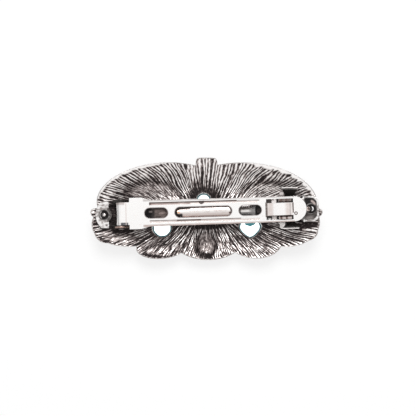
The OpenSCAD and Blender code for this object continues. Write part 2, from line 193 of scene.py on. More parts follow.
# Spots: painted shadows below the clasp's parts and the arm, round the top hole and in the egg-shaped
# hollow's
# bottom, painted highlights in that hollow, on the leaf and below the tray, and darker or lighter tone
# elsewhere:
# centre x and y, half length, half height, turn, and how much darker
SHADE_GLINT_AND_TONE_SPOTS = np.array([
    (-33.6, -1.6, 2.6, 6.6, 0, 0.95), (-30.4, -7.3, 4.6, 0.9, 2, 0.8), (34.3, -5.7, 6.8, 1.25, 2, 1.3),
    (-0.1, -16.2, 2.4, 1.0, 0, 0.55), (-9.5, -13.6, 6.0, 3.5, 0, 0.08), (0.1, -13.6, 2.4, 2.2, 0, -0.16),
    (-4.9, -11.5, 0.9, 4.2, -6, -0.12), (5.0, -12.3, 0.9, 4.0, 6, -0.12), (0.4, -5.8, 7.4, 1.2, 2.5, 0.75),
    (-1.0, 5.5, 6.5, 4.0, 0, 0.55), (29.0, -7.9, 4.0, 1.2, 4, -0.4), (23.6, -9.0, 4.6, 4.6, 0, 0.2),
    (-13.0, 3.9, 6.5, 2.6, -22, -0.14), (-11.3, -12.9, 1.7, 1.0, 35, -0.6), (33.5, -7.4, 5.0, 0.5, 2, -0.5),
    (-5.4, 14.3, 1.5, 3.8, 8, -0.3), (4.9, 14.3, 1.5, 3.2, -8, -0.2), (-29.5, -9.4, 9.0, 3.4, -16, 0.1),
    (30.0, -9.2, 7.5, 3.6, 14, 0.34), (-39.5, -0.3, 0.8, 1.2, 0, 0.6), (-41.2, -1.0, 0.8, 1.8, 0, -0.25),
    (41.4, -0.8, 0.8, 1.8, 0, -0.8), (40.3, 0.2, 0.45, 2.2, 0, 1.0)])
# Creases, from x and y to x and y, their half width and darkness
CREASES = np.array([
    (-26.7, -13.3, -19.6, -8.7, 0.50, 0.7), (26.9, -13.4, 27.2, -6.8, 0.35, 0.35),
    (-9.7, -17.4, -7.6, -10.6, 0.40, 0.5), (-38.6, -10.2, -29.8, -14.7, 0.75, 0.8),
    (-24.2, -16.1, -11.6, -17.2, 0.60, 0.65), (-40.2, -4.3, -35.8, -5.2, 0.40, 0.6)])
STRANDS = 160
# Strands round the rim if all were as fine as below, where they fork once more
FORKED = 232
COLUMNS = 8 * STRANDS
BACK_ROWS = 56
FRONT_ROWS = 14
STRAND_DEPTH = 0.24
STRAND_MIDDLE = 0.42
CREASE_DEPTH = 0.15
# Darkness at the strands' middle height, how fast it falls with height, and what is added to both below
TONE, TONE_FALL = 0.51, 4.2
LOWER_TONE, LOWER_FALL = 0.2, -1.4
# Shade below the clasp, and round a setting for each millimetre that it reaches
CLASP_SHADE = 0.5
SETTING_SHADE = 0.11
# Strands' widths that a strand wanders to either side
WANDER = 0.95
RIM_INSET = 0.38
RIM_CHAMFER = 0.35
RIM_RISE = 0.22
# Rows of the rounded edge: inset from the outline, drop below the back, and darkness
EDGE_ROWS = ((0.5 * RIM_INSET, 0.12, 0.35), (0, 0.45, 0.55), (0, WALL - RIM_CHAMFER, 0.4),
             (RIM_CHAMFER, WALL, 0.2))
# Arcs where the rim is wide: directions from and to, its width, and how ragged its inner edge is
RIM_ARCS = ((8, 46, 1.75, 1.0), (132, 172, 1.2, 0.3))
RIM_NARROW = 0.4
# Settings: centre x and y, hole radius, how square the hole's outline is (2 is round), how far its points are
# filed out, and how far from the hole the painted shade round it reaches
SETTINGS = np.array([
    (-1, 3.85, 2.65, 2, 0, 8), (-16.2, -6.05, 3.5, 2, 0, 3.5), (15.9, -5.75, 3.95, 1.35, 0.25, 5)])
# How far from a hole its blackened edge begins to fade, and ends
HOLE_EDGE = (0.3, 0.6)
LEDGE = 0.45
BEZEL_WALL = 0.8
BEZEL_LOW = 0.55
# The bezel's rounded lip, inset and rise over its low end, and how deep its other end sinks into the wall
BEZEL_LIP = ((0, 0.35), (0.1, 0.1), (0.3, 0))
BEZEL_SUNK = 0.6
BEZEL_TONE, SEAT_TONE, HOLE_TONE = 0.25, 0.5, 0.85
# Heights past the part on both sides, for cutters, and how far a hole's cutter reaches into its seat
OVER_ALL, BELOW_ALL = 20, -1
LEDGE_CUT = 0.1
GAP = 0.03
GIRDLE = 0.25
CROWN_SHARE = 0.3
PAVILION_SHARE = 0.72


def ease(low, high, x):
    """0 at low and before it, 1 at high and past it, and a smooth S between them."""
    t = np.clip((x - low) / (high - low), 0, 1)
    return t * t * (3 - 2 * t)


def oval_share(x, y, rows):
    """How far each point lies from each oval's centre, 1 on its edge, in a last axis of one entry a row."""
    turned = np.radians(rows[:, 4])
    dx, dy = x[..., None] - rows[:, 0], y[..., None] - rows[:, 1]
    along = dx * np.cos(turned) + dy * np.sin(turned)
    beside = dy * np.cos(turned) - dx * np.sin(turned)
    return np.hypot(along / rows[:, 2], beside / rows[:, 3])


def reach(t):
    """Distance from the middle to the outline in the directions t: the farthest crossing of the ray with
    any lobe, or with the tab, whose outline is a superellipse, |x / half width|^p + (y / height)^p = 1."""
    turned = np.radians(LOBES[:, 4])
    cx = LOBES[:, 0] * np.cos(turned) + LOBES[:, 1] * np.sin(turned)
    cy = LOBES[:, 1] * np.cos(turned) - LOBES[:, 0] * np.sin(turned)
    dx, dy = np.cos(t[:, None] - turned) / LOBES[:, 2], np.sin(t[:, None] - turned) / LOBES[:, 3]
    px, py = -cx / LOBES[:, 2], -cy / LOBES[:, 3]
    dd, pd = dx * dx + dy * dy, px * dx + py * dy
    under = pd * pd - dd * (px * px + py * py - 1)
    lobes = np.where(under < 0, 0, (np.sqrt(np.maximum(under, 0)) - pd) / dd).max(axis=1)
    half, high, p = TAB
    up = np.maximum(np.sin(t), 1e-6)
    tab = np.where(np.sin(t) > 0, ((np.abs(np.cos(t)) / half) ** p + (up / high) ** p) ** (-1 / p), 0)
    return np.maximum(lobes, tab)


def wall_height(x, y):
    """Height of the smooth back over the table: a sag along the clip, a dish across it, less each hollow,
    whose depth falls off as exp(-share^4)."""
    hollows = (HOLLOWS[:, 5] * np.exp(-oval_share(x, y, HOLLOWS) ** 4)).sum(axis=-1)
    return MIDDLE_Z + SAG * (x / SAG_AT) ** 2 + DISH_RISE * (y / OVAL[1]) ** 2 - hollows


def lattice(u, v, cells, bands, seed):
    """Random heights 0 to 1 on a lattice of cells round the shell, closed on itself, by bands from the
    middle to the rim, blended between lattice points by smooth S curves."""
    heights = np.random.default_rng(seed).random((bands + 2, cells))
    x, y = (u % 1) * cells, np.clip(v, 0, 1) * bands
    i, j = x.astype(int), y.astype(int)
    fx, fy = ease(0, 1, x - i), ease(0, 1, y - j)
    i, k = i % cells, (i + 1) % cells
    near = heights[j, i] * (1 - fx) + heights[j, k] * fx
    far = heights[j + 1, i] * (1 - fx) + heights[j + 1, k] * fx
    return near * (1 - fy) + far * fy


def strand_height(u, s):
    """Height 0 to 1 of the strands at turn u and share s of the way to the rim, and of the fine hairs on
    them. The strands are a cosine wave with one crest a strand, half as many near the middle, so that each
    forks on its way out, and more towards the lower rim. Noise shifts them and flattens some."""
    near = u + 0.85 / STRANDS * (lattice(u, s, STRANDS, 4, 18) - 0.5)
    counts = (STRANDS // 2, STRANDS, FORKED)
    inner, outer, last = (0.5 + 0.5 * np.cos(2 * np.pi * count * near) for count in counts)
    place = s + 0.3 * lattice(u, s, STRANDS // 2, 2, 13) - 0.15
    waves = inner + (outer - inner) * ease(0.2, 0.5, place)
    waves = waves + (last - waves) * ease(0.6, 0.8, place) * ease(0.6, 0.8, -np.sin(2 * np.pi * u))
    hairs = lattice(u, s, COLUMNS // 3, 18, 14)
    stand = 0.4 + 0.6 * lattice(u, s, STRANDS, 3, 15)
    return STRAND_MIDDLE + stand * (0.62 * waves + 0.5 * hairs - 0.56), hairs


def to_part(x, y):
    """Shell's plan to the part's frame: turned a little, its outline's middle put over the origin."""
    turned_x = x * math.cos(SHELL_TURN) - y * math.sin(SHELL_TURN)
    turned_y = x * math.sin(SHELL_TURN) + y * math.cos(SHELL_TURN)
    return turned_x - shell_middle[0], turned_y - shell_middle[1]


# Columns of the grid run from a line between two focus points to the rim, evenly spaced round an oval
fine = np.linspace(0, 2 * np.pi, 7201)
steps = np.hypot(np.diff(OVAL[0] * np.cos(fine)), np.diff(OVAL[1] * np.sin(fine)))
length = np.concatenate([[0], np.cumsum(steps)])
rim_turn = np.arange(COLUMNS) / COLUMNS
column_angle = np.interp(rim_turn * length[-1], length, fine)
column_dir = np.arctan2(OVAL[1] * np.sin(column_angle), OVAL[0] * np.cos(column_angle))
rim_x, rim_y = reach(column_dir) * np.cos(column_dir), reach(column_dir) * np.sin(column_dir)
shell_middle = (0, 0)
outline = np.array(to_part(rim_x, rim_y))
shell_middle = (outline.max(axis=1) + outline.min(axis=1)) / 2

# Share of the way to the rim, row by row, closer together towards the rim
back_s = 1 - (1 - np.arange(BACK_ROWS + 1) / BACK_ROWS) ** 1.3
front_s = 1 - np.arange(FRONT_ROWS + 1) / FRONT_ROWS


def around(values, u):
    """Value at turn u of an array with one entry a column, blended between columns and closed on itself."""
    return np.interp(u, rim_turn, values, period=1)


def plan(s, shift=0):
    """Plan of the rows at shares s: from the column's point on the focus line out to the rim, leaving the
    line nearly square to it. Below, the columns soon seem to come from points closer to the middle. The
    shift is a share of a turn by which each point wanders round."""
    s = s[:, None]
    u = rim_turn + shift
    lower = ease(0, 0.3, s) * ease(0, 0.2, -around(np.sin(column_angle), u))
    from_x = (FOCUS_UPPER + (FOCUS_LOWER - FOCUS_UPPER) * lower) * around(np.cos(column_angle), u)
    return from_x + (around(rim_x, u) - from_x) * s ** 1.15, around(rim_y, u) * s


def crease_share(x, y):
    """How far each point lies from each crease's line, 1 at its half width."""
    x0, y0, x1, y1, half = (CREASES[:, i] for i in range(5))
    dx, dy = x1 - x0, y1 - y0
    t = np.clip(((x[..., None] - x0) * dx + (y[..., None] - y0) * dy) / (dx * dx + dy * dy), 0, 1)
    return np.hypot(x[..., None] - x0 - t * dx, y[..., None] - y0 - t * dy) / half


def rim_shares(to_rim):
    """How far each point is on the polished rim, how far its column lies in a wide arc, and how wide the
    rim is there. The rim's inner edge is ragged, most of all in the torn arc."""
    direction = np.degrees(column_dir) % 360
    ragged = lattice(rim_turn, rim_turn * 0, 240, 1, 21)
    wide, width = 0, RIM_NARROW * (0.5 + ragged)
    for start, end, full, torn in RIM_ARCS:
        arc = ease(start - 6, start + 6, direction) * (1 - ease(end - 6, end + 6, direction))
        wide, width = wide + arc, width + (full - RIM_NARROW) * arc * (1 + torn * (ragged - 0.5))
    return 1 - ease(0.82 * width, 1.08 * width, to_rim), wide, width


def patch_shares(x, y):
    """How far each point lies inside each patch, and how much painted shade the steps at the patches' edges
    lay there.
    """
    share = oval_share(x, y, PATCHES)
    bearing = np.arctan2(y[..., None] - PATCHES[:, 1], x[..., None] - PATCHES[:, 0])
    toward_step = np.cos(bearing - np.radians(PATCHES[:, 8]))
    step = np.exp(-((share - 0.99) / 0.14) ** 2) * ease(PATCHES[:, 9] - 0.4, PATCHES[:, 9] + 0.4, toward_step)
    return 1 - ease(0.78, 1.0, share), (step * PATCHES[:, 7]).sum(axis=-1)


def shadows(x, y):
    """Shade below the clasp and round each setting, and how far each point is on a hole's blackened edge."""
    clasp_y = to_part(x, y)[1] - CLASP_AT[1]
    shade = CLASP_SHADE * (1 - ease(4.5, 8.0, np.abs(clasp_y))) * ease(1, -1, clasp_y)
    edge = 0
    for cx, cy, hole_r, p, filed, reach_out in SETTINGS:
        away = (np.abs(x - cx) ** p + np.abs(y - cy) ** p) ** (1 / p) - hole_r - filed
        shade = shade + SETTING_SHADE * reach_out * (1 - ease(0.3, reach_out, away))
        edge = edge + 1 - ease(*HOLE_EDGE, away)
    return shade, edge


def dressed_back():
    """The back's rows: plan, height and darkness. The height is the smooth wall's, with the patches
    stepped down, the strands cut in and the rim rolled up. The darkness runs against the strands' height,
    from 1 in their valleys to 0 on their crests and on the polished rim, and is shifted by the patches'
    own tones and the creases, by painted shade below the clasp, round the settings and on the patches' steps,
    which gathers between the strands, and by spots of painted shadow, painted highlight and tone."""
    u, s = np.meshgrid(rim_turn, back_s)
    calm = np.where(rim_y > 0, 1 - 0.7 * (1 - ease(4, 7, np.abs(rim_x))), 0.6)
    held = ease(0, 0.25, s) * (1 - ease(0.85, 1, s))
    x, y = plan(back_s, 2 * WANDER / STRANDS * calm * (lattice(u, s, 36, 4, 11) - 0.5) * held)
    to_rim = np.hypot(x - rim_x, y - rim_y)
    rim, wide, width = rim_shares(to_rim)
    inside, step = patch_shares(x, y)
    shade, edge = shadows(x, y)
    crease = 1 - ease(0.4, 1.2, crease_share(x, y))
    strands, hairs = strand_height(u, s)
    below = ease(-0.1, 0.3, -np.sin(column_angle)) * ease(0.3, 0.6, s) * (1 - ease(20, 27, np.abs(x)))
    left = (1 - inside * (1 - PATCHES[:, 6])).prod(axis=-1)
    z = wall_height(x, y) - (inside * PATCHES[:, 5]).sum(axis=-1) - CREASE_DEPTH * crease.max(axis=-1)
    depth = STRAND_DEPTH * (1 - 0.4 * below) * ease(0, 0.3, s) * (1 - rim) * left
    z = z + depth * (strands - 0.4) + RIM_RISE * rim * (0.3 + 0.7 * wide)
    tufts = 0.16 * (lattice(u, s, 48, 3, 16) - 0.5)
    fall = (TONE_FALL + LOWER_FALL * below) * (strands - STRAND_MIDDLE)
    dark = np.clip(TONE + LOWER_TONE * below - fall + tufts, -0.1, 1) * left
    dark = dark + 0.9 * (1 - left) * np.minimum(1, 0.3 + 2.8 * left) * (0.5 - hairs)
    dark = dark + (inside * (1 - PATCHES[:, 6]) * PATCHES[:, 10]).sum(axis=-1)
    # Dark creases, and painted shade below the clasp, round the settings and on the patches' steps, deepest
    # in the strands' valleys
    dark = dark + (crease * CREASES[:, 5]).sum(axis=-1) + (shade + step) * (1.45 - 1.4 * strands)
    # Spots of painted shadow and painted highlight, and of darker or lighter tone
    dark = dark + ((1 - ease(0.55, 1.1, oval_share(x, y, SHADE_GLINT_AND_TONE_SPOTS))) * SHADE_GLINT_AND_TONE_SPOTS[:, 5]).sum(axis=-1)
    # The tab's end is rubbed, and the dip inside a wide rim is grimed
    dark = dark - 0.16 * ease(15.5, 17, y) * (1 - ease(4.2, 4.6, np.abs(x)))
    dark = dark + 0.35 * wide * (1 - ease(0, 1.4, to_rim - width))
    dark = dark + edge * (0.8 + 0.3 * (hairs - 0.5) - dark)
    dark = np.clip(dark, -0.1, 1.1) * (1 - rim) + rim * (0.2 - 0.5 * wide)
    return x, y, z, dark


def quads(corner):
    """Four-cornered faces between the neighbouring rows of a grid of corners that closes round."""
    a, b = corner[:-1], corner[1:]
    return np.stack([a, b, np.roll(b, -1, axis=1), np.roll(a, -1, axis=1)], axis=-1).reshape(-1, 4)


def seam_index(columns, first):
    """Corner numbers of the row on the focus line, where column j meets column -j in the same point."""
    j = np.arange(columns)
    return first + np.where(j <= columns // 2, j, columns - j)


def shell_casting():
    """Closed casting: the back's rows from the focus line out, a rounded edge, the front's rows back in."""
    x, y, z, dark = dressed_back()
    unit = np.hypot(rim_x, rim_y)
    out_x, out_y = rim_x / unit, rim_y / unit
    x[-1] -= RIM_INSET * out_x
    y[-1] -= RIM_INSET * out_y
    rim_z = wall_height(rim_x, rim_y)
    rows = [(x, y, z, dark)]
    for inset, drop, tone in EDGE_ROWS:
        rows.append((rim_x - inset * out_x, rim_y - inset * out_y, rim_z - drop, np.full(COLUMNS, tone)))
    fx, fy = plan(front_s)
    fx[0] -= 2 * RIM_CHAMFER * out_x
    fy[0] -= 2 * RIM_CHAMFER * out_y
    rows.append((fx, fy, wall_height(fx, fy) - WALL, np.zeros(fx.shape)))
    x, y, z, dark = (np.vstack([np.atleast_2d(row[i]) for row in rows]) for i in range(4))
    count = len(x)
    corner = np.arange(count * COLUMNS).reshape(count, COLUMNS)
    corner[0] = seam_index(COLUMNS, corner[0, 0])
    corner[-1] = seam_index(COLUMNS, corner[-1, 0])
    faces = quads(corner)
    px, py = to_part(x, y)
    # A face's corners keep their own column's turn and distance from the rim, also on the seam, and the last
    # column runs on to a whole turn
    far = np.hypot(x - rim_x, y - rim_y)
    far = np.hstack([far, far[:, :1]])
    grid = np.stack([np.broadcast_to(np.append(rim_turn, 1), far.shape), far], axis=-1)
    strand_uv = np.stack([grid[:-1, :-1], grid[1:, :-1], grid[1:, 1:], grid[:-1, 1:]], axis=2)
    return np.stack([px, py, z], axis=-1).reshape(-1, 3), faces, dark.ravel(), strand_uv.reshape(-1, 2)


def mark(piece, tarnish_and_painted_light, strand_uv):
    """Stores what the finish reads: each point's darkness, patina with painted shade and highlights in it,
    and each corner's place along the strands.
    """
    tones = piece.data.attributes.new("tarnish_and_painted_light", "FLOAT", "POINT")
    tones.data.foreach_set("value", tarnish_and_painted_light.astype(np.float32))
    piece.data.uv_layers.new(name="strand").data.foreach_set("uv", strand_uv.astype(np.float32).ravel())


def disc(r, top, low):
    """Profile of a plain disc, for a lathed solid."""
    return [(0, top), (r, top), (r, low), (0, low)]


def lathe(profile, place, sides=96, squareness=2, tilt=0):
    """Points and faces of a closed solid: the profile, radius and height from axis to axis, carried round
    the place. A squareness under 2 draws the sides in between the X and Y axes, as |x|^p + |y|^p = 1. The
    tilt leans the axis about Y."""
    profile = np.array(profile, float)
    t = np.arange(sides) * 2 * np.pi / sides
    radius = (np.abs(np.cos(t)) ** squareness + np.abs(np.sin(t)) ** squareness) ** (-1 / squareness)
    x, y = profile[:, :1] * radius * np.cos(t), profile[:, :1] * radius * np.sin(t)
    z = np.broadcast_to(profile[:, 1:], x.shape)
    along, up = x * math.cos(tilt) + z * math.sin(tilt), z * math.cos(tilt) - x * math.sin(tilt)
    points = np.stack([along, y, up], axis=-1)
    corner = np.arange(x.size).reshape(x.shape)
    corner[profile[:, 0] == 0] = corner[profile[:, 0] == 0][:, :1]
    return points.reshape(-1, 3) + np.array(place), quads(corner)


def merged(parts):
    """Points and faces of several solids as one list, with corners that are in no face left out."""
    starts = np.cumsum([0] + [len(points) for points, faces in parts])
    points = np.concatenate([points for points, faces in parts])
    faces = np.concatenate([faces + start for start, (_, faces) in zip(starts, parts)])
    used = np.unique(faces)
    number = np.full(len(points), -1)
    number[used] = np.arange(len(used))
    return points[used], number[faces], used


def without_repeats(faces):
    """Corner lists of the faces, in which a corner that meets itself at a pole stands once."""
    return [list(dict.fromkeys(face)) for face in faces.tolist()]


def evaluated(piece):
    """New mesh of the piece with its modifiers applied."""
    return bpy.data.meshes.new_from_object(piece.evaluated_get(bpy.context.evaluated_depsgraph_get()))


def settled(piece, tool, operation):
    """Joins the tool's solids to the piece or cuts them from it, and keeps the result as the piece's mesh."""
    change = piece.modifiers.new(operation.lower(), "BOOLEAN")
    change.operation = operation
    change.solver = "MANIFOLD"
    change.object = tool
    result = evaluated(piece)
    result.materials.clear()
    piece.modifiers.clear()
    piece.data = result
    bpy.data.objects.remove(tool)


def put_solids(name, parts, tarnish_and_painted_light):
    """Object of closed solids in one even tone."""
    points, faces, used = merged(parts)
    piece = put_mesh(name, points, without_repeats(faces))
    mark(piece, np.full(len(points), tarnish_and_painted_light), np.zeros((len(piece.data.loops), 2)))
    return piece


# The clasp's rivets, their places on it, and how far the base plate's arc leans there
RIVET_X = 37.25
BASE_SAG = 4.2
BASE_CLEAR = 0.6
base_r = (RIVET_X ** 2 + BASE_SAG ** 2) / (2 * BASE_SAG)
base_z = MIDDLE_Z + SAG * (RIVET_X / SAG_AT) ** 2 + BASE_CLEAR - BASE_SAG
rivet_tilt = math.asin(RIVET_X / base_r)
BOSS_R, BOSS_H = 2.5, 1.6
SHANK_R, SHANK_H = 0.9, 1.15
# How far the cutter of a rivet's hole stands over its boss
SHANK_OVER = 2


def at_rivet(side, profile, **how):
    """Lathed solid that stands square to the base plate's arc at the left (-1) or right (1) rivet."""
    place = (CLASP_AT[0] + side * RIVET_X, CLASP_AT[1], base_z + BASE_SAG)
    return lathe(profile, place, tilt=-side * rivet_tilt, **how)


def setting_plan(setting):
    """Centre of a setting in the part's plan, its girdle's radius and its ledge's height."""
    girdle_r = setting[2] + LEDGE
    ledge_z = CROWN_SHARE * girdle_r + GIRDLE + PAVILION_SHARE * LEDGE + GAP
    return (*to_part(setting[0], setting[1]), 0), girdle_r, ledge_z


def put_shell():
    """The casting with its bezels and rivet bosses joined on, and its seats and holes cut through."""
    points, faces, dark, strand_uv = shell_casting()
    points, faces, used = merged([(points, faces)])
    piece = put_mesh("shell_casting", points, faces.tolist())
    mark(piece, dark[used], strand_uv)
    bezels, seats, holes = [], [], []
    for setting in SETTINGS:
        place, girdle_r, ledge_z = setting_plan(setting)
        top = float(wall_height(setting[0], setting[1])) - BEZEL_SUNK
        outer = girdle_r + GAP + BEZEL_WALL
        lip = [(outer - inset, BEZEL_LOW + rise) for inset, rise in BEZEL_LIP]
        bezels.append(lathe([(0, top), (outer, top), *lip, (0, BEZEL_LOW)], place))
        seats.append(lathe(disc(girdle_r + GAP, ledge_z, BELOW_ALL), place))
        hole = disc(setting[2] + setting[4], OVER_ALL, ledge_z - LEDGE_CUT)
        holes.append(lathe(hole, place, squareness=setting[3]))
    for side in (-1, 1):
        bezels.append(at_rivet(side, disc(BOSS_R, -GAP, -BOSS_H)))
        holes.append(at_rivet(side, disc(SHANK_R + GAP, SHANK_OVER, -SHANK_H - GAP), sides=48))
    settled(piece, put_solids("shell_bezels", bezels, BEZEL_TONE), "UNION")
    settled(piece, put_solids("shell_seats", seats, SEAT_TONE), "DIFFERENCE")
    settled(piece, put_solids("shell_holes", holes, HOLE_TONE), "DIFFERENCE")
    return piece


shell = put_shell()


def worked(tree, operation, *values, kind="ShaderNodeMath", **settings):
    """Output of a math node: the operation on the values, in their order."""
    inputs = {f"_{i}": value for i, value in enumerate(values)}
    return node_in(tree, kind, {"operation": operation, **settings}, **inputs).outputs[0]


# Group: how bare, grimed or scuffed a metal is, from fine streaks along one direction and soft clouds.
wear = bpy.data.node_groups.new("metal_wear", "ShaderNodeTree")
wear.interface.new_socket("Place", in_out="INPUT", socket_type="NodeSocketVector")
for name in ("Streak Scale", "Cloud Scale", "Streaks", "Clouds"):
    wear.interface.new_socket(name, in_out="INPUT", socket_type="NodeSocketFloat")
for name in ("Wear", "Scratches"):
    wear.interface.new_socket(name, in_out="OUTPUT", socket_type="NodeSocketFloat")
given = node_in(wear, "NodeGroupInput").outputs
streaks = node_in(wear, "ShaderNodeTexNoise", Vector=given["Place"], Scale=given["Streak Scale"], Detail=4.0,
                  Roughness=0.6)
clouds = node_in(wear, "ShaderNodeTexNoise", Vector=given["Place"], Scale=given["Cloud Scale"], Detail=3.0,
                 Roughness=0.55)
streaked = worked(wear, "MULTIPLY", streaks.outputs["Fac"], given["Streaks"])
clouded = worked(wear, "MULTIPLY_ADD", clouds.outputs["Fac"], given["Clouds"], streaked)
node_in(wear, "NodeGroupOutput", Wear=clouded, Scratches=streaks.outputs["Fac"])


def worn(tree, place, **values):
    """Places the wear group in a material's tree and returns the node."""
    return node_in(tree, "ShaderNodeGroup", {"node_tree": wear}, Place=place, **values)


def ramp(tree, value, stops):
    """Colour that runs with the value from stop to stop, each a place and a colour."""
    node = node_in(tree, "ShaderNodeValToRGB", Fac=value)
    elements = node.color_ramp.elements
    while len(elements) < len(stops):
        elements.new(0.5)
    for element, (place, colour) in zip(elements, stops):
        element.position = place
        element.color = colour + (1,)
    return node.outputs["Color"]


# Tones of the silver, from rubbed bare to the black of patina and painted shade, and how little the dirt
# shines
SILVER_STOPS = ((0, (0.94, 0.91, 0.895)), (0.25, (0.62, 0.56, 0.54)), (0.5, (0.32, 0.275, 0.265)),
                (0.75, (0.125, 0.10, 0.097)), (1, (0.018, 0.013, 0.013)))
DIRT_GLOSS = 0.12
# Scale of the wear's place along the strands, on which its specks become long hairs
HAIR_STRETCH = 0.0024

silver, tree = new_material("antique_silver")
# The casting's darkness: patina with painted shade and painted highlights in it
tarnish_and_painted_light = node_in(tree, "ShaderNodeAttribute", {"attribute_name": "tarnish_and_painted_light"})
strand_place = node_in(tree, "ShaderNodeUVMap", {"uv_map": "strand"})
spread = node_in(tree, "ShaderNodeMapping", Vector=strand_place.outputs[0], Scale=(1.0, HAIR_STRETCH, 1.0))
hairs = worn(tree, spread.outputs[0], Streak_Scale=400.0, Cloud_Scale=150.0, Streaks=0.75, Clouds=0.25)
mixed = worked(tree, "MULTIPLY_ADD", hairs.outputs["Wear"], 2.8, -1.4)
grime_and_painted_light = worked(tree, "ADD", tarnish_and_painted_light.outputs["Fac"], mixed, use_clamp=True)
metal = node_in(tree, "ShaderNodeMapRange", Value=grime_and_painted_light, To_Min=1.0, To_Max=0.0)
rough = node_in(tree, "ShaderNodeMapRange", Value=grime_and_painted_light, To_Min=0.3, To_Max=0.6)
bump = node_in(tree, "ShaderNodeBump", Strength=0.3, Distance=0.00006, Height=hairs.outputs["Scratches"])
coat(tree, Base_Color=ramp(tree, grime_and_painted_light, SILVER_STOPS), Metallic=metal.outputs[0], Roughness=rough.outputs[0],
     Normal=bump.outputs[0], Specular_IOR_Level=DIRT_GLOSS)
shell.data.materials.append(silver)
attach(shell, "root")
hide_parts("shell")

# The three stones: pale aqua glass, brilliant cut, each pushed into its setting from the front with its table
# down, so that daylight shows through it from behind. The glass also glows, painted light that keeps it pale.
TABLE_SHARE = 0.58
STAR_SHARE = 0.79
LOWER_SHARE = 0.42
CUT = 8
# The pavilion mains of each stone, counted round from +X, that look at the clasp's arm and are tinted teal as
# its painted shade
SHADED_MAINS = {"stone_top": [], "stone_left": [], "stone_right": [1, 2, 3]}
CLEAR = (0.93, 0.99, 0.99, 1)
TEAL = (0.002, 0.019, 0.024, 1)
# How far inside the hole's outline the glass begins to deepen, and is deep
FRINGE = (0.7, 0.4)
# Glow of the glass: painted light
GLASS_PAINTED_GLOW = 0.55


def brilliant(setting):
    """Points and faces of a round brilliant with its table on the table plane: an eight-sided table, star
    facets, kites, upper and lower girdle facets and pavilion mains. Each kite and main is flat, because
    its side corners lie on the line between its ends, taken along its own direction."""
    place, r, _ = setting_plan(setting)
    crown, side = CROWN_SHARE * r, math.pi / CUT
    t = np.arange(CUT) * 2 * side

    def ring(radius, z, angle):
        """One corner at each of the angles, at that radius and height."""
        return np.stack([radius * np.cos(angle), radius * np.sin(angle), np.full(CUT, z)], axis=-1)

    def on_line(share, r0, z0, r1, z1):
        """Height, half a facet round, at a share of the radius on the flat from (r0, z0) to (r1, z1)."""
        return z0 + (share * r * math.cos(side) - r0) * (z1 - z0) / (r1 - r0)

    top = crown + GIRDLE
    culet = top + PAVILION_SHARE * r
    star_z = on_line(STAR_SHARE, TABLE_SHARE * r, 0, r, crown)
    lower_z = on_line(LOWER_SHARE, 0, culet, r, top)
    rings = [ring(TABLE_SHARE * r, 0, t), ring(STAR_SHARE * r, star_z, t + side),
             ring(r, crown, t), ring(r, crown, t + side), ring(r, top, t), ring(r, top, t + side),
             ring(LOWER_SHARE * r, lower_z, t + side), np.array([[0, 0, culet]])]
    k = np.arange(CUT)
    n = np.roll(k, -1)
    table, star, up, up_mid, low, low_mid, mid = (np.array([c * CUT + k, c * CUT + n]) for c in range(7))
    tip = np.full(CUT, 7 * CUT)
    before = np.roll(star[0], 1), np.roll(mid[0], 1)
    faces = [list(table[0][::-1])]
    rounds = ((table[0], table[1], star[0]), (table[0], star[0], up[0], before[0]),
              (star[0], up_mid[0], up[0]), (star[0], up[1], up_mid[0]),
              (up[0], up_mid[0], low_mid[0], low[0]), (up_mid[0], up[1], low[1], low_mid[0]),
              (low[0], low_mid[0], mid[0]), (low_mid[0], low[1], mid[0]), (low[0], mid[0], tip, before[1]))
    for corners in rounds:
        faces += np.stack(corners, axis=-1).tolist()
    return np.vstack(rings) + np.array(place), faces


def blended(tree, share, first, second):
    """Colour that runs from the first to the second while the share runs from 0 to 1."""
    return node_in(tree, "ShaderNodeMix", {"data_type": "RGBA"}, _0=share, _6=first, _7=second).outputs[2]


def put_stone(name, setting):
    """One stone. The glass is nearly clear and deeper towards the girdle; the mains that look at the arm are
    tinted teal as painted shade, and all of it glows faintly as painted light.
    """
    points, faces = brilliant(setting)
    piece = put_mesh(name + "_cut", points, faces, smooth=False)
    # The mains are the last of its faces
    shaded = np.zeros(len(faces), np.float32)
    shaded[np.array(SHADED_MAINS[name], int) - CUT] = 1.0
    piece.data.attributes.new("shaded", "FLOAT", "FACE").data.foreach_set("value", shaded)
    middle = setting_plan(setting)[0]
    p, point_r = setting[3], setting[2] + setting[4]
    glass, tree = new_material(name + "_glass")
    place = node_in(tree, "ShaderNodeTexCoord")
    centred = node_in(tree, "ShaderNodeMapping", Vector=place.outputs["Object"],
                      Location=(-middle[0] * MM, -middle[1] * MM, 0))
    axes = node_in(tree, "ShaderNodeSeparateXYZ", Vector=centred.outputs[0])
    powers = [worked(tree, "POWER", worked(tree, "ABSOLUTE", axes.outputs[axis]), p) for axis in ("X", "Y")]
    out = worked(tree, "POWER", worked(tree, "ADD", *powers), 1 / p)
    edge = soft_step(tree, out, (point_r - FRINGE[0]) * MM, (point_r - FRINGE[1]) * MM)
    facets = node_in(tree, "ShaderNodeAttribute", {"attribute_name": "shaded"})
    tint = blended(tree, worked(tree, "MAXIMUM", edge, facets.outputs["Fac"]), CLEAR, TEAL)
    coat(tree, Base_Color=tint, Roughness=0.02, IOR=1.5, Transmission_Weight=1.0, Emission_Color=tint,
         Emission_Strength=GLASS_PAINTED_GLOW)
    piece.data.materials.append(glass)
    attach(piece, "root")
    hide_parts(name)


for name, setting in zip(("stone_top", "stone_left", "stone_right"), SETTINGS):
    put_stone(name, setting)

# The clasp's base plate: mild steel stamped from sheet, bent to an arc, nickel plated and riveted to the
# casting. It ends in a half-moon tab with two ears for the hinge on the left, and in a tray on the right.
PLATE_EDGE = 0.12
